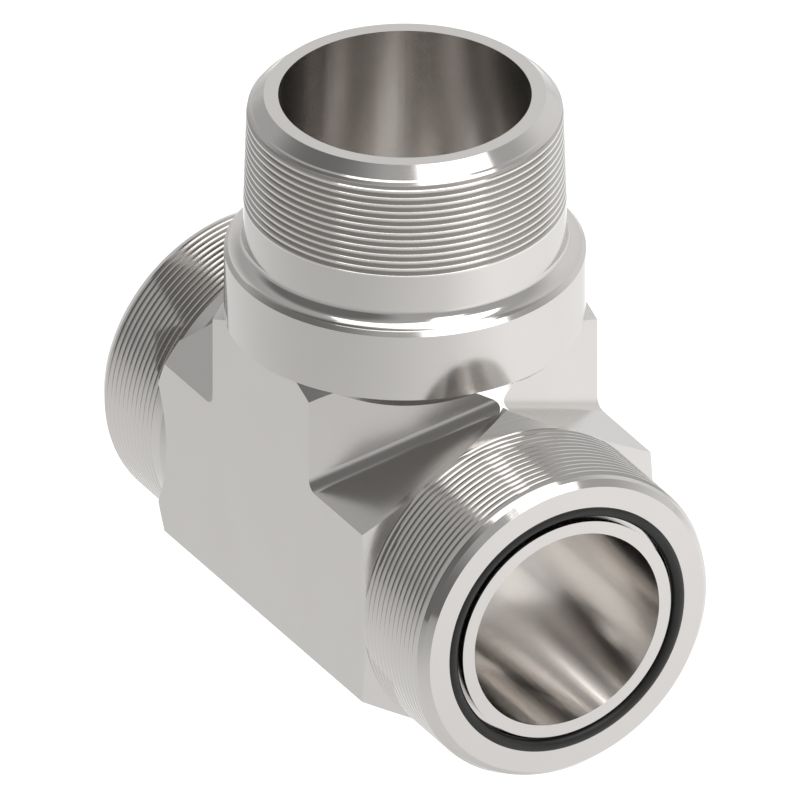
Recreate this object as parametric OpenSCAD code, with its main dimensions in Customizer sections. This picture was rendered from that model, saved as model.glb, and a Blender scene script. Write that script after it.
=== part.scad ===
// Branch tee adapter for hydraulic lines, in millimetres.
// X runs along the straight run, Z up the branch, the origin is where their axes cross.
// Each thread is a row of ring grooves at its pitch, without the lead of a helix.

/* [Hexagon] */
// Distance across the flats of the run and of the column under the branch
across_flats = 50; // [44:0.5:60]
// Radius of the hollow corner where the column rises from the run
mitre_radius = 2.1; // [0.5:0.1:4]

/* [Run] */
// Distance from the centre to each sealing face
run_reach = 48.6; // [42:0.1:60]
// Bore straight through the run
run_bore_d = 32; // [20:0.5:34]
// Crest diameter of the straight thread on both run ends
run_thread_d = 50.6; // [48:0.1:56]
// 45 degree bevel round each sealing face
run_bevel = 0.92; // [0.4:0.02:1.6]
// How far each run end narrows between its thread's crest and that bevel
run_lead_drop = 0.63; // [0.1:0.01:0.9]
// Length of that narrowing
run_lead = 1.35; // [0.6:0.05:3]
// Plain length at each run end, where no thread groove starts
run_bare_end = 1.6; // [0.8:0.05:3]
// Distance from the centre to the front end of the hexagon, at the thread
hex_front_reach = 31.5; // [29:0.1:36]
// How far the front end of the hexagon falls back from the thread to the corners
hex_front_fall = 1.04; // [0.2:0.02:2]
// Distance from the centre to the rim on the rear end of the hexagon
hex_rear_reach = 30.74; // [29:0.02:36]
// Radius of the rim on the rear end of the hexagon
hex_rear_rim_r = 27; // [26:0.05:28.5]
// Depth of the hollow between the rear rim and the thread neck
hex_rear_hollow = 2.55; // [1:0.05:4]

/* [Seal] */
// Wall between the run bore and the seal groove
lip_wall = 2; // [1:0.1:3]
// Thickness of the O-ring cord
ring_cord = 2.06; // [1.2:0.02:2.4]
// Gap between the lip and the inside of the O-ring
ring_lip_gap = 0.63; // [0.2:0.01:1.2]
// How far the O-ring stands out of the sealing face
ring_proud = 0.25; // [0.05:0.01:0.4]
// Running gap between the O-ring and the groove floor and mouth
ring_fit_gap = 0.03; // [0.01:0.01:0.1]
// Room beside the O-ring under the overhanging groove wall
groove_side_room = 0.16; // [0.06:0.01:0.4]

/* [Branch] */
// Distance from the centre to the end face of the branch
branch_reach = 68.44; // [60:0.1:80]
// Bore of the branch
branch_bore_d = 38.1; // [24:0.1:40]
// Crest diameter of the taper thread at its large end, also of the plain neck
branch_thread_d = 48.6; // [46:0.1:50]
// Loss of thread diameter for each millimetre of length
branch_taper = 0.0625; // [0.02:0.0025:0.1]
// Height of the large end of the taper thread above the centre
branch_thread_foot = 50.4; // [47:0.1:56]
// 45 degree bevel at the start of the taper thread
branch_bevel = 2.6; // [0.5:0.05:2.8]

/* [Threads] */
// Distance from one groove of the run threads to the next
run_pitch = 1.192; // [1:0.001:2.2]
// Distance from the centre to the first groove of the front thread
front_first_groove = 32.4; // [32.2:0.02:34]
// Distance from the centre to the first groove of the rear thread
rear_first_groove = 32.8; // [31:0.02:36]
// Distance from one groove of the taper thread to the next
branch_pitch = 1.203; // [1:0.001:2.3]
// Height of the taper thread's first groove above the centre
branch_first_groove = 51.36; // [51:0.02:54]
// Depth of every thread groove, whose flanks are 60 degrees apart
thread_depth = 0.66; // [0.2:0.02:0.7]
// Width of the flat crest between two grooves
crest_flat = 0.27; // [0.1:0.01:0.4]

/* [Collar] */
// Diameter of the round collar under the branch thread
collar_d = 54.4; // [53.5:0.1:56]
// Height of the collar's lower edge above the centre
collar_foot = 31.08; // [29.5:0.02:34]
// Height of the collar's upper edge above the centre
collar_top = 41.96; // [38:0.02:44]
// 45 degree bevel on the collar's upper edge
collar_bevel = 0.6; // [0.2:0.01:1]
// Radius of the hollow corner between the collar and the neck
collar_fillet = 2.25; // [0.2:0.05:2.25]

/* [Hidden] */
$fn = 96;

cut = 1;
flank_angle = 30;
flat_r = across_flats / 2;
corner_r = flat_r / cos(30);
outside_r = corner_r + cut;
run_bore_r = run_bore_d / 2;
run_thread_r = run_thread_d / 2;
run_lead_r = run_thread_r - run_lead_drop;
run_bevel_foot = run_reach - run_bevel;

// The front end of the hexagon is a shallow cone, carried on past the corners.
front_slope = hex_front_fall / (corner_r - run_thread_r);
front_outside = hex_front_reach - front_slope * (outside_r - run_thread_r);
// The rear end has a 45 degree bevel outside the rim and a hollow inside it.
rear_outside = hex_rear_reach - (outside_r - hex_rear_rim_r);
rear_hollow_floor = hex_rear_reach - hex_rear_hollow;
neck_foot_r = flat_r - 0.1;
front_neck_slope = 1;
rear_neck_slope = 0.25;
front_neck_foot = hex_front_reach - (run_thread_r - neck_foot_r) / front_neck_slope;

// The mitre is the hollow line between a sloping run face and a column face.
mitre_half = acos(0.25) / 2;
mitre_centre = mitre_radius / cos(mitre_half);
mitre_touch = mitre_radius * tan(mitre_half);
mitre_along = [0.5, cos(30), 0.5] / norm([0.5, cos(30), 0.5]);
mitre_out = [cos(30), -1, cos(30)] / norm([cos(30), -1, cos(30)]);
mitre_side = cross(mitre_along, mitre_out);
mitre_start = [corner_r / 2, -flat_r, corner_r / 2];
mitre_length = norm([corner_r / 2, flat_r, corner_r / 2]);
mitre_spare = 2 * mitre_radius;

lip_r = run_bore_r + lip_wall;
ring_r = lip_r + ring_lip_gap + ring_cord / 2;
ring_depth = ring_cord / 2 - ring_proud;
ring_at_face = sqrt(pow(ring_cord / 2, 2) - pow(ring_depth, 2));
groove_mouth_r = ring_r + ring_at_face + ring_fit_gap;
groove_wall_r = ring_r + ring_cord / 2 + groove_side_room;
groove_depth = ring_cord - ring_proud + ring_fit_gap;
groove_overhang = groove_wall_r - groove_mouth_r;

branch_bore_r = branch_bore_d / 2;
branch_thread_r = branch_thread_d / 2;
branch_bevel_foot = branch_reach - branch_bevel;
branch_tip_r = branch_thread_r - (branch_bevel_foot - branch_thread_foot) * branch_taper / 2;
branch_face_r = branch_tip_r - branch_bevel;
drill_point = branch_bore_r / tan(59);

collar_r = collar_d / 2;
collar_shoulder = collar_top + collar_bevel;
fillet_centre = [branch_thread_r + collar_fillet, collar_shoulder + collar_fillet];
collar_root_r = flat_r - 1;
// The corners of the column are bevelled at 45 degrees up to the collar's lower edge.
column_outside = collar_foot - (outside_r - collar_r);

module along_x() {
  rotate([0, 90, 0]) children();
}

module run_outline() {
  polygon([
    [0, -rear_hollow_floor], [neck_foot_r, -rear_hollow_floor],
    [hex_rear_rim_r, -hex_rear_reach], [outside_r, -rear_outside],
    [outside_r, front_outside], [run_thread_r, hex_front_reach], [0, hex_front_reach]
  ]);
}

module column_outline() {
  polygon([
    [0, -outside_r], [outside_r, -outside_r],
    [outside_r, column_outside], [collar_r, collar_foot], [0, collar_foot]
  ]);
}

module run_hexagon() {
  intersection() {
    along_x() translate([0, 0, -hex_rear_reach])
      cylinder(h = hex_rear_reach + hex_front_reach, r = corner_r, $fn = 6);
    along_x() rotate_extrude() run_outline();
  }
}

module column_hexagon() {
  intersection() {
    cylinder(h = collar_foot, r = corner_r, $fn = 6);
    rotate_extrude() column_outline();
  }
}

module mitre_profile() {
  difference() {
    polygon([
      [-0.5, 0], [mitre_touch * sin(mitre_half), -mitre_touch * cos(mitre_half)],
      [mitre_centre, 0], [mitre_touch * sin(mitre_half), mitre_touch * cos(mitre_half)]
    ]);
    translate([mitre_centre, 0]) circle(r = mitre_radius);
  }
}

module mitre_fillet() {
  intersection() {
    multmatrix([
      [mitre_out[0], mitre_side[0], mitre_along[0], mitre_start[0]],
      [mitre_out[1], mitre_side[1], mitre_along[1], mitre_start[1]],
      [mitre_out[2], mitre_side[2], mitre_along[2], mitre_start[2]],
      [0, 0, 0, 1]
    ]) translate([0, 0, -mitre_spare])
      linear_extrude(height = mitre_length + 2 * mitre_spare) mitre_profile();
    translate([0, -flat_r, 0]) cube([2 * corner_r, flat_r, 2 * corner_r]);
  }
}

module mitre_fillets() {
  intersection() {
    union() {
      for (x_side = [0, 1]) for (y_side = [0, 1])
        mirror([x_side, 0, 0]) mirror([0, y_side, 0]) mitre_fillet();
    }
    along_x() rotate_extrude() run_outline();
    rotate_extrude() column_outline();
  }
}

// The section of one groove, with its mouth at the origin and carried on past the crest.
module thread_groove(pitch) {
  mouth = (pitch - crest_flat) / 2;
  root = mouth - thread_depth * tan(flank_angle);
  spare = mouth + cut * tan(flank_angle);
  polygon([[-thread_depth, -root], [cut, -spare], [cut, spare], [-thread_depth, root]]);
}

// Each run end grows out of the hexagon: its foot is a little inside the flats.
module run_end(neck_foot, neck_slope, first_groove) {
  neck_top = neck_foot + (run_thread_r - neck_foot_r) / neck_slope;
  rotate_extrude() difference() {
    polygon([
      [0, 0], [neck_foot_r, 0], [neck_foot_r, neck_foot], [run_thread_r, neck_top],
      [run_thread_r, run_bevel_foot - run_lead], [run_lead_r, run_bevel_foot],
      [run_lead_r - run_bevel, run_reach], [0, run_reach]
    ]);
    for (at = [first_groove : run_pitch : run_reach - run_bare_end])
      translate([run_thread_r, at]) thread_groove(run_pitch);
  }
}

module branch_outline() {
  difference() {
    polygon([
      [0, 0], [collar_root_r, collar_foot - (collar_r - collar_root_r)],
      [collar_r, collar_foot], [collar_r, collar_top],
      [collar_r - collar_bevel, collar_shoulder], [fillet_centre[0], collar_shoulder],
      fillet_centre, [branch_thread_r, fillet_centre[1]], [branch_thread_r, branch_thread_foot],
      [branch_tip_r, branch_bevel_foot], [branch_face_r, branch_reach], [0, branch_reach]
    ]);
    translate(fillet_centre) circle(r = collar_fillet);
    for (at = [branch_first_groove : branch_pitch : branch_bevel_foot])
      translate([branch_thread_r - (at - branch_thread_foot) * branch_taper / 2, at])
        thread_groove(branch_pitch);
  }
}

module bores() {
  along_x() translate([0, 0, -run_reach - cut])
    cylinder(h = 2 * (run_reach + cut), r = run_bore_r);
  cylinder(h = branch_reach + cut, r = branch_bore_r);
  translate([0, 0, -drill_point]) cylinder(h = drill_point, r1 = 0, r2 = branch_bore_r);
}

module seal_groove() {
  rotate_extrude() polygon([
    [lip_r, run_reach - groove_depth], [lip_r, run_reach + cut],
    [groove_mouth_r, run_reach + cut], [groove_mouth_r, run_reach],
    [groove_wall_r, run_reach - groove_overhang],
    [groove_wall_r, run_reach - groove_depth]
  ]);
}

module body() {
  color("#c9c6c1") difference() {
    union() {
      run_hexagon();
      column_hexagon();
      mitre_fillets();
      along_x() run_end(front_neck_foot, front_neck_slope, front_first_groove);
      rotate([0, -90, 0])
        run_end(rear_hollow_floor, rear_neck_slope, rear_first_groove);
      rotate_extrude() branch_outline();
    }
    bores();
    along_x() seal_groove();
    rotate([0, -90, 0]) seal_groove();
  }
}

module o_ring() {
  translate([0, 0, run_reach - ring_depth]) rotate_extrude()
    translate([ring_r, 0]) circle(d = ring_cord);
}

module front_o_ring() {
  color("#262626") along_x() o_ring();
}

module rear_o_ring() {
  color("#262626") rotate([0, -90, 0]) o_ring();
}

body();
front_o_ring();
rear_o_ring();
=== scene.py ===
from math import acos, cos, pi, radians, sin, sqrt, tan

import bmesh
import bpy
from mathutils import Matrix, Vector


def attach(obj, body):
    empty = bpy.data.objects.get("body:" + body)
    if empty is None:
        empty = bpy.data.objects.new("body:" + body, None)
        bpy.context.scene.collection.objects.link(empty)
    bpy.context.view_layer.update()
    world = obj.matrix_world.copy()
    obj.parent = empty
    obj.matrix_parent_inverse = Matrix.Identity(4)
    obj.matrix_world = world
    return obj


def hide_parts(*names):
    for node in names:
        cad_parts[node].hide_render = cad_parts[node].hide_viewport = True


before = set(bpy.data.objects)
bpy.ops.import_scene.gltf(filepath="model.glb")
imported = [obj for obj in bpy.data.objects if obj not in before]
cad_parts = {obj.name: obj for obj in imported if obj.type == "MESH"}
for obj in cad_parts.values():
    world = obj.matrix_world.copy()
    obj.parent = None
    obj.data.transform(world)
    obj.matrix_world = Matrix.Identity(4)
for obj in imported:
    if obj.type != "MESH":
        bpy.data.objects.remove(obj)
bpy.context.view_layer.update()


# The camera. It looks without perspective at the front end of the run, from 30 degrees towards
# the near side and 30 degrees above the horizon, at 6.664 pixels to the millimetre.
MM = 0.001
FRAME_PIXELS = 800
PIXELS_PER_MM = 6.664
ORIGIN_LEFT_OF_CENTRE = -4.95 / PIXELS_PER_MM
ORIGIN_BELOW_CENTRE = 89.2 / PIXELS_PER_MM
CAMERA_DISTANCE = 0.6
CAMERA_REACH = 5

to_camera = Vector((0.75, -sqrt(3) / 4, 0.5))
picture_right = Vector((0.5, sqrt(3) / 2, 0))
picture_up = to_camera.cross(picture_right)

camera = bpy.data.objects.new("camera", bpy.data.cameras.new("camera"))
bpy.context.scene.collection.objects.link(camera)
camera.data.type = "ORTHO"
camera.data.ortho_scale = FRAME_PIXELS / PIXELS_PER_MM * MM
camera.data.clip_end = CAMERA_REACH
camera.rotation_euler = to_camera.to_track_quat("Z", "Y").to_euler()
camera.location = (
    to_camera * CAMERA_DISTANCE
    + picture_right * ORIGIN_LEFT_OF_CENTRE * MM
    + picture_up * ORIGIN_BELOW_CENTRE * MM
)
bpy.context.scene.camera = camera


# The hexagon bar of the run. The body is one piece of steel, and its run starts as a hexagon
# bar, milled flat for the spanner and faced in the lathe at both ends.
ALONG_RUN = Matrix.Rotation(pi / 2, 4, "Y")
ALONG_REAR = Matrix.Rotation(-pi / 2, 4, "Y")
UP_BRANCH = Matrix.Identity(4)
TURN_STEPS = 240

SPARE = 1
FLAT_R = 25.0
CORNER_R = FLAT_R / cos(pi / 6)
OUTSIDE_R = CORNER_R + SPARE
RUN_THREAD_R = 25.3
HEX_FRONT = 31.5
HEX_FRONT_FALL = 1.04
HEX_REAR = 30.74
REAR_RIM_R = 27.0
REAR_HOLLOW = 2.55
NECK_FOOT_R = FLAT_R - 0.1
# Faces of two solids that would lie on each other are kept a hair apart, or drawn in by this
# share, because the solver that joins the solids needs one of them inside the other.
HAIR = 0.002
INWARD = 1 - 1e-4


def new_piece(name, corners, faces):
    """A mesh object from corners in millimetres."""
    mesh = bpy.data.meshes.new(name)
    mesh.from_pydata([tuple(c * MM for c in corner) for corner in corners], [], faces)
    shape = bmesh.new()
    shape.from_mesh(mesh)
    bmesh.ops.recalc_face_normals(shape, faces=shape.faces)
    shape.to_mesh(mesh)
    shape.free()
    piece = bpy.data.objects.new(name, mesh)
    bpy.context.scene.collection.objects.link(piece)
    return piece


def turned(name, outline, direction):
    """A lathe-turned solid: the closed outline of (radius, height) spun about an axis."""
    corners, rings, faces = [], [], []
    for radius, height in outline:
        if radius == 0:
            rings.append([len(corners)])
            corners.append(direction @ Vector((0, 0, height)))
            continue
        rings.append(list(range(len(corners), len(corners) + TURN_STEPS)))
        for step in range(TURN_STEPS):
            angle = 2 * pi * step / TURN_STEPS
            corners.append(direction @ Vector((radius * cos(angle), radius * sin(angle), height)))
    for low, high in zip(rings, rings[1:] + rings[:1]):
        for step in range(TURN_STEPS):
            after = (step + 1) % TURN_STEPS
            if len(low) > 1 and len(high) > 1:
                faces.append((low[step], low[after], high[after], high[step]))
            elif len(low) > 1:
                faces.append((low[step], low[after], high[0]))
            elif len(high) > 1:
                faces.append((low[0], high[after], high[step]))
    return new_piece(name, corners, faces)


def pushed(name, points, foot, top, placing):
    """A straight bar: a closed section of (x, y) points pushed from foot to top."""
    corners = [placing @ Vector((x, y, foot)) for x, y in points]
    corners += [placing @ Vector((x, y, top)) for x, y in points]
    count = len(points)
    faces = [tuple(range(count - 1, -1, -1)), tuple(range(count, 2 * count))]
    faces += [
        (side, (side + 1) % count, count + (side + 1) % count, count + side)
        for side in range(count)
    ]
    return new_piece(name, corners, faces)


def settle(piece):
    """Makes what the piece's modifiers give into its own mesh."""
    graph = bpy.context.evaluated_depsgraph_get()
    finished = bpy.data.meshes.new_from_object(piece.evaluated_get(graph))
    rough = piece.data
    piece.modifiers.clear()
    piece.data = finished
    bpy.data.meshes.remove(rough)


def machine(piece, *others, how, keep=False):
    """Joins (UNION), cuts (DIFFERENCE) or keeps the shared part (INTERSECT) with the others,
    which are then removed unless they are kept for a later cut."""
    for other in others:
        step = piece.modifiers.new("machine", "BOOLEAN")
        step.solver = "MANIFOLD"
        step.operation = how
        step.object = other
        settle(piece)
        if not keep:
            bpy.data.objects.remove(other)


hexagon = [(CORNER_R * cos(pi * k / 3), CORNER_R * sin(pi * k / 3)) for k in range(6)]
front_fall_at_outside = HEX_FRONT_FALL / (CORNER_R - RUN_THREAD_R) * (OUTSIDE_R - RUN_THREAD_R)
rear_floor = HEX_REAR - REAR_HOLLOW
run_facing = turned("run_facing", [
    (0, -rear_floor), (NECK_FOOT_R, -rear_floor), (REAR_RIM_R, -HEX_REAR),
    (OUTSIDE_R, OUTSIDE_R - REAR_RIM_R - HEX_REAR),
    (OUTSIDE_R, HEX_FRONT - front_fall_at_outside), (RUN_THREAD_R, HEX_FRONT), (0, HEX_FRONT),
], ALONG_RUN)
tee_body = pushed("tee_body", hexagon, -HEX_REAR - SPARE, HEX_FRONT + SPARE, ALONG_RUN)
machine(tee_body, run_facing, how="INTERSECT", keep=True)


# The hexagon column under the branch. It rises from the middle of the run, and the lathe
# bevelled its corners up to the round collar. A round hollow softens each of its four mitres.
COLLAR_R = 27.2
COLLAR_FOOT = 31.08
MITRE_R = 2.1
MITRE_STEPS = 18
MITRE_SUNK = 0.5

column_facing = turned("column_facing", [
    (0, -OUTSIDE_R), (OUTSIDE_R, -OUTSIDE_R), (OUTSIDE_R, COLLAR_FOOT - (OUTSIDE_R - COLLAR_R)),
    (COLLAR_R, COLLAR_FOOT), (0, COLLAR_FOOT),
], UP_BRANCH)
column = pushed("column", hexagon, 0, COLLAR_FOOT + SPARE, UP_BRANCH)
machine(column, column_facing, how="INTERSECT", keep=True)
column.data.transform(Matrix.Diagonal((INWARD, INWARD, 1, 1)))

# The two flats that meet in a mitre have normals whose cosine is 1/4.
mitre_half = acos(0.25) / 2
mitre_centre = MITRE_R / cos(mitre_half)
mitre_touch = MITRE_R * tan(mitre_half)
mitre_along = Vector((0.5, cos(pi / 6), 0.5)).normalized()
mitre_out = Vector((cos(pi / 6), -1, cos(pi / 6))).normalized()
mitre_side = mitre_along.cross(mitre_out)
mitre_start = Vector((CORNER_R / 2, -FLAT_R, CORNER_R / 2))
touch = (mitre_touch * sin(mitre_half), mitre_touch * cos(mitre_half))
hollow = []
for step in range(1, MITRE_STEPS):
    angle = mitre_half * (2 * step / MITRE_STEPS - 1)
    hollow.append((mitre_centre - MITRE_R * cos(angle), MITRE_R * sin(angle)))
mitre_section = [(-MITRE_SUNK, 0), (touch[0], -touch[1]), *hollow, touch]
mitre_length = Vector((CORNER_R / 2, FLAT_R, CORNER_R / 2)).length
mitre_placing = Matrix((mitre_out, mitre_side, mitre_along)).transposed().to_4x4()
mitre_placing.translation = mitre_start

mitres = []
for mirror_x in (1, -1):
    for mirror_y in (1, -1):
        placing = Matrix.Diagonal((mirror_x, mirror_y, 1, 1)) @ mitre_placing
        mitre = pushed(
            "mitre", mitre_section, -2 * MITRE_R, mitre_length + 2 * MITRE_R, placing)
        room = new_piece("room", [
            (mirror_x * x * 2 * CORNER_R, -mirror_y * (y * (FLAT_R + HAIR) - HAIR),
             z * 2 * CORNER_R)
            for x in (0, 1) for y in (0, 1) for z in (0, 1)
        ], [(0, 1, 3, 2), (4, 6, 7, 5), (0, 4, 5, 1), (2, 3, 7, 6), (0, 2, 6, 4), (1, 5, 7, 3)])
        machine(mitre, room, how="INTERSECT")
        machine(mitre, run_facing, column_facing, how="INTERSECT", keep=True)
        mitre.data.transform(Matrix.Scale(INWARD, 4))
        mitres.append(mitre)
machine(tee_body, column, *mitres, how="UNION")
for facing in (run_facing, column_facing):
    bpy.data.objects.remove(facing)


# The two run ends. Each is turned with a fine straight thread for the swivel nut, a bevel at
# its start and a flat sealing face with an undercut groove round the bore for the O-ring.
RUN_REACH = 48.6
RUN_BEVEL = 0.92
RUN_LEAD = 1.35
RUN_LEAD_DROP = 0.63
RUN_BARE_END = 1.6
RUN_BORE_R = 16.0
LIP_R = 18.0
RUN_PITCH = 1.192
FRONT_FIRST_GROOVE = 32.4
REAR_FIRST_GROOVE = 32.8
THREAD_DEPTH = 0.66
CREST_FLAT = 0.27
RING_CORD = 2.06
RING_R = 19.66
RING_DEPTH = 0.78
GROOVE_MOUTH_R = 20.36
GROOVE_WALL_R = 20.85
GROOVE_DEPTH = 1.84
FRONT_NECK_SLOPE = 1
REAR_NECK_SLOPE = 0.25
FLANK = tan(pi / 6)
HALVINGS = 30


def threaded(profile, first_groove, pitch, last_groove, crest_r):
    """A profile of (radius, place) with V grooves of 60 degrees cut in it, a pitch apart."""
    root = (pitch - CREST_FLAT) / 2 - THREAD_DEPTH * FLANK

    def surface(place):
        """The profile's own radius at a place along the axis."""
        for (r, start), (next_r, end) in zip(profile, profile[1:]):
            if place <= end:
                return r + (next_r - r) * (place - start) / (end - start)

    def mouth(inner, edge, way):
        """Where a groove's flank, from an edge of its floor, comes out of the profile."""
        below, above = 0, 2 * THREAD_DEPTH
        for _ in range(HALVINGS):
            rise = (below + above) / 2
            if inner + rise < surface(edge + way * rise * FLANK):
                below = rise
            else:
                above = rise
        return inner + below, edge + way * below * FLANK

    outline, rest = [], list(profile)
    groove = first_groove
    while groove < last_groove:
        inner = crest_r(groove) - THREAD_DEPTH
        low, high = mouth(inner, groove - root, -1), mouth(inner, groove + root, 1)
        while rest[0][1] < low[1]:
            outline.append(rest.pop(0))
        while rest[0][1] < high[1]:
            rest.pop(0)
        outline += [low, (inner, groove - root), (inner, groove + root), high]
        groove += pitch
    return outline + rest


def run_end(name, foot, slope, first_groove, direction):
    """One threaded end, from inside the hexagon out to its sealing face."""
    neck_top = foot + (RUN_THREAD_R - NECK_FOOT_R) / slope
    bevel_foot = RUN_REACH - RUN_BEVEL
    lead_r = RUN_THREAD_R - RUN_LEAD_DROP
    outside = [
        (NECK_FOOT_R, foot - HAIR), (RUN_THREAD_R, neck_top - HAIR),
        (RUN_THREAD_R, bevel_foot - RUN_LEAD), (lead_r, bevel_foot),
        (lead_r - RUN_BEVEL, RUN_REACH),
    ]
    return turned(name, [
        (0, 0), (NECK_FOOT_R, 0),
        *threaded(outside, first_groove, RUN_PITCH, RUN_REACH - RUN_BARE_END,
                  lambda place: RUN_THREAD_R),
        (GROOVE_MOUTH_R, RUN_REACH),
        (GROOVE_WALL_R, RUN_REACH - (GROOVE_WALL_R - GROOVE_MOUTH_R)),
        (GROOVE_WALL_R, RUN_REACH - GROOVE_DEPTH), (LIP_R, RUN_REACH - GROOVE_DEPTH),
        (LIP_R, RUN_REACH), (0, RUN_REACH),
    ], direction)


front_neck_foot = HEX_FRONT - (RUN_THREAD_R - NECK_FOOT_R) / FRONT_NECK_SLOPE
front_end = run_end(
    "front_end", front_neck_foot, FRONT_NECK_SLOPE, FRONT_FIRST_GROOVE, ALONG_RUN)
rear_end = run_end("rear_end", rear_floor, REAR_NECK_SLOPE, REAR_FIRST_GROOVE, ALONG_REAR)


# The branch. Above the column the lathe turned a round collar, a plain neck and a taper pipe
# thread of 1 in 16, with a wide bevel at its start and a narrow proud band at the bevel's foot.
COLLAR_TOP = 41.96
BRANCH_REACH = 68.44
BRANCH_BORE_R = 19.05
NECK_R = 24.3
THREAD_FOOT = 50.4
BRANCH_TAPER = 0.0625
BRANCH_BEVEL = 2.6
BRANCH_PITCH = 1.203
BRANCH_FIRST_GROOVE = 51.36
COLLAR_ROOT_R = FLAT_R - 1
COLLAR_BEVEL = 0.6
COLLAR_FILLET = 2.25
FILLET_STEPS = 16
BAND_PROUD = 0.2
BAND_WIDTH = 0.5
LEDGE_SLOPE = 0.445


def taper_r(height):
    """The radius of the neck and of the taper thread's crests at a height."""
    return NECK_R - max(0, height - THREAD_FOOT) * BRANCH_TAPER / 2


bevel_foot = BRANCH_REACH - BRANCH_BEVEL
bevel_r = taper_r(bevel_foot)
band_foot = bevel_foot + BAND_PROUD
band_top = band_foot + BAND_WIDTH
band_r = taper_r(band_foot) - BAND_WIDTH
ledge_across = (band_r - bevel_r + BAND_PROUD + BAND_WIDTH) / (1 - LEDGE_SLOPE)
shoulder = COLLAR_TOP + COLLAR_BEVEL
collar_hollow = []
for step in range(FILLET_STEPS):
    angle = pi / 2 * step / FILLET_STEPS
    collar_hollow.append((
        NECK_R + COLLAR_FILLET * (1 - sin(angle)), shoulder + COLLAR_FILLET * (1 - cos(angle))))
tapered = [
    (NECK_R, shoulder + COLLAR_FILLET), (NECK_R, THREAD_FOOT), (taper_r(band_foot), band_foot),
    (band_r, band_top), (band_r - ledge_across, band_top + LEDGE_SLOPE * ledge_across),
    (bevel_r - BRANCH_BEVEL, BRANCH_REACH),
]
branch = turned("branch", [
    (0, 0), (COLLAR_ROOT_R, COLLAR_FOOT - (COLLAR_R - COLLAR_ROOT_R)), (COLLAR_R, COLLAR_FOOT),
    (COLLAR_R, COLLAR_TOP), (COLLAR_R - COLLAR_BEVEL, shoulder), *collar_hollow,
    *threaded(tapered, BRANCH_FIRST_GROOVE, BRANCH_PITCH, bevel_foot, taper_r),
    (0, BRANCH_REACH),
], UP_BRANCH)
machine(tee_body, front_end, rear_end, branch, how="UNION")


# The bores. One drill goes straight through the run. A wider one comes down the branch, and
# its point of 118 degrees leaves a cone in the floor of the run.
DRILL_CONE = BRANCH_BORE_R / tan(radians(118 / 2))
EDGE_ANGLE = radians(14)
run_bore = turned("run_bore", [
    (0, -RUN_REACH - SPARE), (RUN_BORE_R, -RUN_REACH - SPARE), (RUN_BORE_R, RUN_REACH + SPARE),
    (0, RUN_REACH + SPARE),
], ALONG_RUN)
branch_bore = turned("branch_bore", [
    (0, -DRILL_CONE), (BRANCH_BORE_R, 0), (BRANCH_BORE_R, BRANCH_REACH + SPARE),
    (0, BRANCH_REACH + SPARE),
], UP_BRANCH)
machine(tee_body, run_bore, branch_bore, how="DIFFERENCE")
tee_body.data.shade_smooth()
tee_body.data.set_sharp_from_angle(angle=EDGE_ANGLE)
even = tee_body.modifiers.new("even", "WEIGHTED_NORMAL")
even.keep_sharp = True
settle(tee_body)


# The steel of the body. It is bright plated over the machined surface: the lathe left fine rings,
# the mill straight grain on the flats, and the drills lengthwise streaks in the bores. The taper
# thread has a lighter colour painted on its crests as a painted highlight and a darker one in its
# grooves as painted shade, and handling left faint smudges.
PLATE = (0.735, 0.713, 0.692, 1)
BORE = (0.83, 0.805, 0.78, 1)
# Painted highlight: the lighter colour given to the taper thread's crests.
CREST_PAINTED_HIGHLIGHT = (0.88, 0.865, 0.845, 1)
# Painted shade: the darker colour given in the taper thread's grooves.
GROOVE_PAINTED_SHADE = (0.56, 0.54, 0.52, 1)
SMUDGE = (0.69, 0.665, 0.64, 1)
TURNED_RINGS = 5200.0
MILLED_GRAIN = 3600.0
MILLED_STRETCH = 0.02
DRILLED_STREAKS = 520.0
DRILLED_STRETCH = 0.05
SMUDGES = 85.0
SMUDGE_SHARE = 0.25
END_TURNED_FROM = 30.2
BRANCH_TURNED_FROM = 31.05
CRESTS_FROM = 50.65
CRESTS_TO = 65.85
BORE_SKIN = 0.06
CREST_SKIN = 0.02
RUN_BORE_POLISH = 0.6
STEEL_ROUGH = 0.07
DULL_ROUGH = 0.09
MARKS_ROUGH = 0.05
SMUDGE_ROUGH = 0.04
MARKS_RELIEF = 0.12


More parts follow.
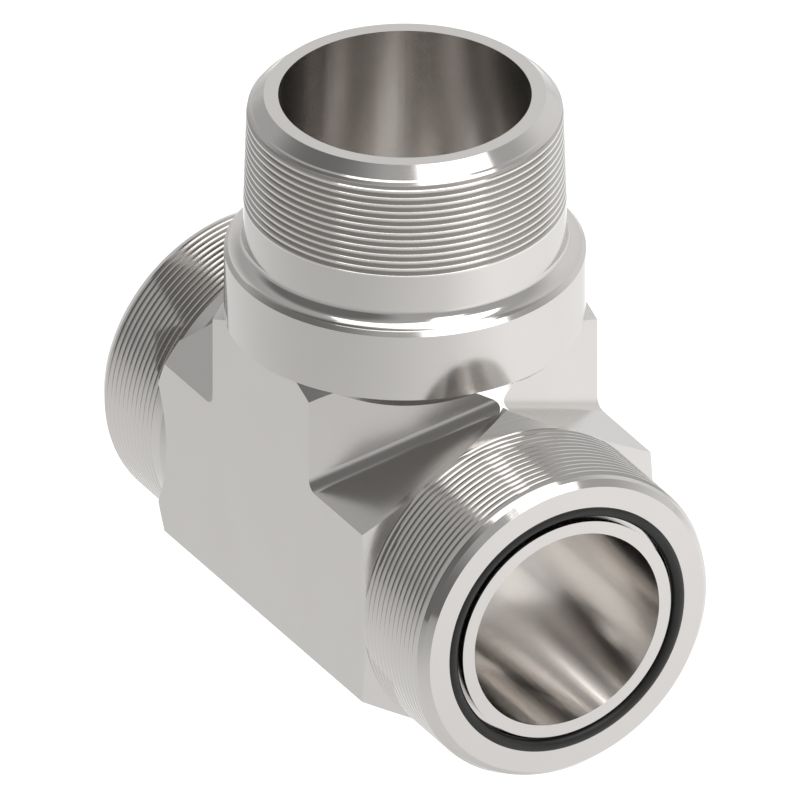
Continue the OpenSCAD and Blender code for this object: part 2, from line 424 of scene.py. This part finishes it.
class Net:
    """Adds nodes to a node tree, each with its inputs given by name or by i and its place."""

    def __init__(self, tree):
        self.tree = tree

    def add(self, kind, settings=(), **inputs):
        node = self.tree.nodes.new("ShaderNode" + kind)
        for name, value in dict(settings).items():
            setattr(node, name, value)
        for name, value in inputs.items():
            place = int(name[1:]) if name[1:].isdigit() else name.replace("_", " ")
            if isinstance(value, bpy.types.NodeSocket):
                self.tree.links.new(value, node.inputs[place])
            else:
                node.inputs[place].default_value = value
        return node

    def feed(self, shader, values):
        """Links each value to the input of the shader that it is named after."""
        for name, value in values.items():
            self.tree.links.new(value, shader.inputs[name])

    def math(self, how, first, second=0.0, third=0.0):
        return self.add("Math", {"operation": how}, i0=first, i1=second, i2=third).outputs[0]

    def ramp(self, value, low, high, to_low=0.0, to_high=1.0):
        return self.add(
            "MapRange", {"interpolation_type": "SMOOTHSTEP"}, Value=value, From_Min=low,
            From_Max=high, To_Min=to_low, To_Max=to_high).outputs["Result"]

    def past(self, value, limit, blur):
        """0 before the limit and 1 past it, both in millimetres, with a soft edge."""
        return self.ramp(value, (limit - blur) * MM, (limit + blur) * MM)

    def mix(self, share, first, second):
        return self.add("Mix", Factor=share, i2=first, i3=second).outputs[0]

    def blend(self, share, first, second):
        return self.add("Mix", {"data_type": "RGBA"}, Factor=share, i6=first, i7=second).outputs[2]

    def noise(self, vector, scale, detail, roughness=0.5, dimensions="3D"):
        return self.add(
            "TexNoise", {"noise_dimensions": dimensions}, Vector=vector, Scale=scale,
            Detail=detail, Roughness=roughness).outputs["Fac"]

    def ways(self, vector):
        parts = self.add("SeparateXYZ", Vector=vector)
        return parts.outputs["X"], parts.outputs["Y"], parts.outputs["Z"]

    def vector(self, x=0.0, y=0.0, z=0.0):
        return self.add("CombineXYZ", X=x, Y=y, Z=z).outputs["Vector"]

    def along(self, vector, direction):
        """How far a vector goes in a direction."""
        return self.add(
            "VectorMath", {"operation": "DOT_PRODUCT"}, i0=vector, i1=direction).outputs["Value"]

    def distance(self, first, second):
        """The distance from an axis, from the two places across it."""
        return self.math("SQRT", self.math("ADD", self.math("MULTIPLY", first, first),
                                           self.math("MULTIPLY", second, second)))


def tool_marks():
    """A group that tells from the place on the body which tool finished it, and its marks."""
    group = bpy.data.node_groups.new("tool_marks", "ShaderNodeTree")
    group.interface.new_socket("Place", in_out="INPUT", socket_type="NodeSocketVector")
    net = Net(group)
    place = group.nodes.new("NodeGroupInput").outputs["Place"]
    x, y, z = net.ways(place)
    from_run, from_branch = net.distance(y, z), net.distance(x, y)

    run_rings = net.noise(net.vector(x, from_run), TURNED_RINGS, 2.0, dimensions="2D")
    branch_rings = net.noise(net.vector(z, from_branch), TURNED_RINGS, 2.0, dimensions="2D")
    grain = net.noise(
        net.vector(net.math("MULTIPLY", x, MILLED_STRETCH), y, z), MILLED_GRAIN, 3.0)
    on_branch = net.past(z, BRANCH_TURNED_FROM, 0.15)
    on_end = net.past(net.math("ABSOLUTE", x), END_TURNED_FROM, 0.2)
    marks = net.mix(on_branch, net.mix(on_end, grain, run_rings), branch_rings)

    in_run = net.math("LESS_THAN", from_run, (RUN_BORE_R + BORE_SKIN) * MM)
    in_branch = net.math(
        "MULTIPLY", net.math("LESS_THAN", from_branch, (BRANCH_BORE_R + BORE_SKIN) * MM),
        net.math("GREATER_THAN", z, 0.0))
    bore = net.math("MAXIMUM", in_run, in_branch)
    run_streaks = net.noise(
        net.vector(net.math("MULTIPLY", x, DRILLED_STRETCH), y, z), DRILLED_STREAKS, 4.0)
    branch_streaks = net.noise(
        net.vector(x, y, net.math("MULTIPLY", z, DRILLED_STRETCH)), DRILLED_STREAKS, 4.0)
    marks = net.mix(bore, marks, net.mix(in_run, branch_streaks, run_streaks))

    milled = net.math("SUBTRACT", 1.0, net.math("MAXIMUM", on_end, on_branch))
    dull = net.math("SUBTRACT", net.math("MAXIMUM", bore, milled),
                    net.math("MULTIPLY", in_run, RUN_BORE_POLISH))

    outside = net.math("GREATER_THAN", from_branch, (BRANCH_BORE_R + NECK_R) / 2 * MM)
    # The outside of the taper thread, where a painted highlight lightens the crests.
    threaded_part = net.math(
        "SUBTRACT", net.past(z, CRESTS_FROM, 0.15), net.past(z, CRESTS_TO, 0.05))
    thread = net.math("MULTIPLY", outside, threaded_part)
    # The radius of the taper's crests at this height; what lies deeper is in a groove.
    crest = net.math("MULTIPLY_ADD", z, -BRANCH_TAPER / 2,
                     (NECK_R + THREAD_FOOT * BRANCH_TAPER / 2) * MM)
    # Deeper than the crests lie the grooves, where painted shade darkens the steel.
    groove = net.math("MULTIPLY", thread, net.ramp(
        net.math("SUBTRACT", crest, from_branch), CREST_SKIN * MM, 6 * CREST_SKIN * MM))
    smudge = net.noise(place, SMUDGES, 5.0, roughness=0.6)

    out = group.nodes.new("NodeGroupOutput")
    for name, value in (("Marks", marks), ("Bore", bore), ("Dull", dull), ("Thread Painted Highlight", thread),
                        ("Groove Painted Shade", groove), ("Smudge", smudge)):
        group.interface.new_socket(name, in_out="OUTPUT", socket_type="NodeSocketFloat")
        group.links.new(value, out.inputs[name])
    return group


steel = bpy.data.materials.new("plated_steel")
steel.use_nodes = True
net = Net(steel.node_tree)
shader = steel.node_tree.nodes["Principled BSDF"]
finish = net.add("Group", {"node_tree": tool_marks()}, Place=net.add("TexCoord").outputs["Object"])
marks, smudge = finish.outputs["Marks"], finish.outputs["Smudge"]
plate = net.blend(finish.outputs["Bore"], PLATE, BORE)
plate = net.blend(net.ramp(smudge, 0.35, 0.7, 0.0, SMUDGE_SHARE), plate, SMUDGE)
# Painted highlight on the thread's crests, then painted shade in its grooves.
plate = net.blend(finish.outputs["Thread Painted Highlight"], plate, CREST_PAINTED_HIGHLIGHT)
plate = net.blend(finish.outputs["Groove Painted Shade"], plate, GROOVE_PAINTED_SHADE)
rough = net.math("MULTIPLY_ADD", finish.outputs["Dull"], DULL_ROUGH, STEEL_ROUGH)
rough = net.math("MULTIPLY_ADD", marks, MARKS_ROUGH, rough)
rough = net.math("MULTIPLY_ADD", smudge, SMUDGE_ROUGH, rough)
relief = net.add("Bump", Height=marks, Strength=MARKS_RELIEF, Distance=0.01 * MM)
net.feed(shader, {"Base Color": plate, "Roughness": rough, "Normal": relief.outputs["Normal"]})
shader.inputs["Metallic"].default_value = 1
tee_body.data.materials.clear()
tee_body.data.materials.append(steel)
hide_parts("body")
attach(tee_body, "root")


# The O-rings. Each is black rubber, moulded in one piece and pressed into the undercut groove
# of a sealing face. The rubber has a fine grit and a faint, uneven bloom.
RING_STEPS = 40
RUBBER_BLACK = (0.013, 0.013, 0.012, 1)
RUBBER_BLOOM = (0.026, 0.026, 0.024, 1)
RUBBER_ROUGH = 0.32
RUBBER_UNEVEN = 0.12
GRIT = 3000.0
GRIT_RELIEF = 0.25
BLOOM = 140.0
rubber = bpy.data.materials.new("black_rubber")
rubber.use_nodes = True
net = Net(rubber.node_tree)
shader = rubber.node_tree.nodes["Principled BSDF"]
place = net.add("TexCoord").outputs["Object"]
grit = net.noise(place, GRIT, 3.0)
bloom = net.noise(place, BLOOM, 4.0)
tone = net.blend(net.ramp(bloom, 0.35, 0.75), RUBBER_BLACK, RUBBER_BLOOM)
rough = net.math("MULTIPLY_ADD", bloom, RUBBER_UNEVEN, RUBBER_ROUGH)
rough = net.math("MULTIPLY_ADD", grit, RUBBER_UNEVEN, rough)
relief = net.add("Bump", Height=grit, Strength=GRIT_RELIEF, Distance=0.02 * MM)
net.feed(shader, {"Base Color": tone, "Roughness": rough, "Normal": relief.outputs["Normal"]})
ring_section = [
    (RING_R + RING_CORD / 2 * cos(2 * pi * k / RING_STEPS),
     RUN_REACH - RING_DEPTH + RING_CORD / 2 * sin(2 * pi * k / RING_STEPS))
    for k in range(RING_STEPS)
]
for name, node, direction in (
        ("front_seal_ring", "front_o_ring", ALONG_RUN),
        ("rear_seal_ring", "rear_o_ring", ALONG_REAR)):
    ring = turned(name, ring_section, direction)
    ring.data.shade_smooth()
    ring.data.materials.append(rubber)
    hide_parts(node)
    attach(ring, "root")


# The floor. A wide sheet of white paper below the fitting. It is brightest behind the fitting,
# where the camera sees it. Painted shade makes it greyer on the near side, where the studio is
# darker, and painted light makes it lighter on the far side.
FLOOR_AT = -120
FLOOR_REACH = 3000
FLOOR_STEPS = 40
PAPER_WHITE = (0.8, 0.8, 0.8, 1)
PAPER_BLACK = (0, 0, 0, 1)
FLOOR_GREY = 0.77
# Painted shade on the paper's near side and painted light on its far side.
NEAR_PAINTED_SHADE = 0.54
FAR_PAINTED_LIGHT = 0.22
FLOOR_GLOW = 0.45
BEHIND_GLOW = 0.25

floor = new_piece("floor", [
    ((2 * x / FLOOR_STEPS - 1) * FLOOR_REACH, (2 * y / FLOOR_STEPS - 1) * FLOOR_REACH, FLOOR_AT)
    for x in range(FLOOR_STEPS + 1) for y in range(FLOOR_STEPS + 1)
], [
    (x * (FLOOR_STEPS + 1) + y, (x + 1) * (FLOOR_STEPS + 1) + y,
     (x + 1) * (FLOOR_STEPS + 1) + y + 1, x * (FLOOR_STEPS + 1) + y + 1)
    for x in range(FLOOR_STEPS) for y in range(FLOOR_STEPS)
])
paper = bpy.data.materials.new("paper")
paper.use_nodes = True
net = Net(paper.node_tree)
shader = paper.node_tree.nodes["Principled BSDF"]
shader.inputs["Roughness"].default_value = 0.9
shader.inputs["Specular IOR Level"].default_value = 0
place = net.add("TexCoord").outputs["Object"]
rightward = net.along(place, (0.5, 0.866, 0))
away = net.along(place, (-0.866, 0.5, 0))
far_side = net.along(place, (0.26, 0.966, 0))
near_side = net.along(place, (0.2, -0.98, 0))
behind = net.math("MULTIPLY", net.ramp(away, -0.02, 0.08),
                  net.ramp(net.math("ABSOLUTE", rightward), 0.07, 0.15, 1.0, 0.0))
# Painted shade greys the near side of the paper and painted light lightens its far side.
paper_grey_with_painted_light = net.math("ADD", net.ramp(near_side, 0.0, 0.45, FLOOR_GREY, NEAR_PAINTED_SHADE),
                net.ramp(far_side, 0.04, 0.26, 0.0, FAR_PAINTED_LIGHT))
paper_grey_with_painted_light = net.math("MAXIMUM", paper_grey_with_painted_light, behind)
sheet = net.blend(paper_grey_with_painted_light, PAPER_BLACK, PAPER_WHITE)
ray = net.add("LightPath")
seen = net.math("MAXIMUM", ray.outputs["Is Camera Ray"], ray.outputs["Is Glossy Ray"])
seen = net.math("MAXIMUM", seen, ray.outputs["Is Transmission Ray"])
glow = net.math("MULTIPLY", seen, net.math("MULTIPLY_ADD", behind, BEHIND_GLOW, FLOOR_GLOW))
net.feed(shader, {"Base Color": sheet, "Emission Color": sheet, "Emission Strength": glow})
floor.data.materials.append(paper)


# The light. A grey room with a pale wall on its far side and a dark near side, and two equally
# bright softboxes: a large one overhead and a small one up in front of the run's front end.
GREY_WALL = 0.45
PALE_WALL = 0.8
PALE_SIDE = (-0.574, 0.819, 0)
DARK_WALL = 0.17
DARK_SIDE = (0, -0.985, 0.17)
SOFTBOX_LEVEL = 1.9
OVERHEAD_SIZE = (1.35, 0.76)
OVERHEAD_AZIMUTH = radians(25)
OVERHEAD_OFF = 0.325
OVERHEAD_UP = 1
FRONT_SIZE = (0.3, 0.3)
FRONT_WAY = (0.754, 0.025, 0.657)

world = bpy.data.worlds.new("studio")
bpy.context.scene.world = world
world.use_nodes = True
net = Net(world.node_tree)
way = net.add("TexCoord").outputs["Generated"]
walls = net.ramp(net.along(way, PALE_SIDE), 0.4, 0.9, GREY_WALL, PALE_WALL)
walls = net.mix(net.ramp(net.along(way, DARK_SIDE), 0.5, 0.8), walls, DARK_WALL)
net.feed(world.node_tree.nodes["Background"], {"Color": walls})


def softbox(name, size, place, turn):
    """An evenly bright rectangle of light, of a size in metres, that shines down its own -Z."""
    lamp = bpy.data.lights.new(name, "AREA")
    lamp.shape = "RECTANGLE"
    lamp.size, lamp.size_y = size
    lamp.energy = SOFTBOX_LEVEL * pi * lamp.size * lamp.size_y
    holder = bpy.data.objects.new(name, lamp)
    bpy.context.scene.collection.objects.link(holder)
    holder.location = place
    holder.rotation_euler = turn


overhead_along = Vector((cos(OVERHEAD_AZIMUTH), sin(OVERHEAD_AZIMUTH), 0))
softbox("overhead_softbox", OVERHEAD_SIZE,
        overhead_along * OVERHEAD_OFF + Vector((0, 0, OVERHEAD_UP)), (0, 0, OVERHEAD_AZIMUTH))
front_way = Vector(FRONT_WAY).normalized()
softbox("front_softbox", FRONT_SIZE, front_way, front_way.to_track_quat("Z", "Y").to_euler())

bpy.context.scene.view_settings.view_transform = "Standard"
